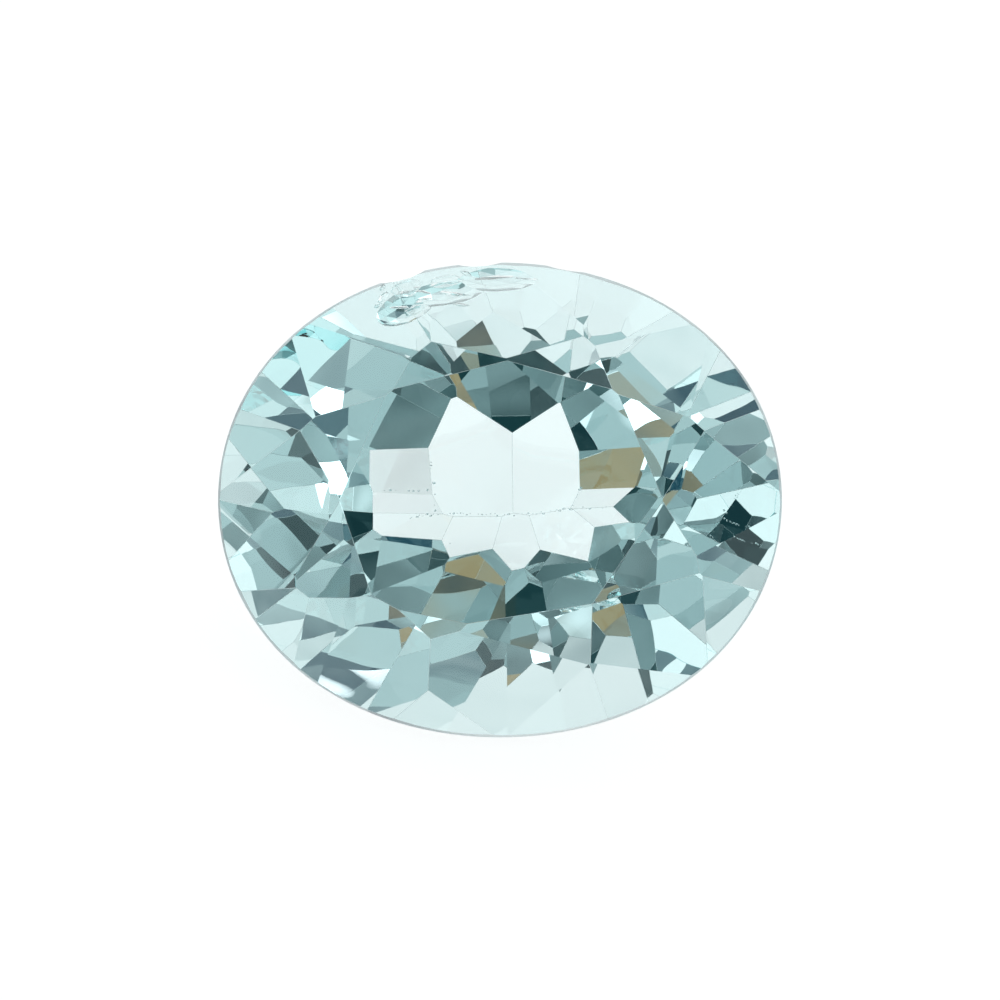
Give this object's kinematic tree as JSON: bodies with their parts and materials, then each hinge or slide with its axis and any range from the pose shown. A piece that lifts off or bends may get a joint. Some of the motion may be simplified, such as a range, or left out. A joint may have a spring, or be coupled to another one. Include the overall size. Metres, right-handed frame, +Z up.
{
  "type": "faceted gemstone",
  "caption": "Loose oval brilliant-cut gemstone of clear pale blue topaz, with a flat table, faceted crown, thin worn girdle and a faceted pavilion that ends in a short keel.",
  "frame": {"origin": "middle of the stone's bounding box in plan, on the surface it lies on", "axes": "+X along the length of the oval, +Z up, and the table faces up and towards -Y"},
  "size_m": [0.0094, 0.006, 0.0059],
  "materials": {
    "topaz": "polished facets, clear and pale blue, with a matt ground girdle"
  },
  "bodies": {
    "root": {"topaz": "topaz"}
  },
  "joints": []
}
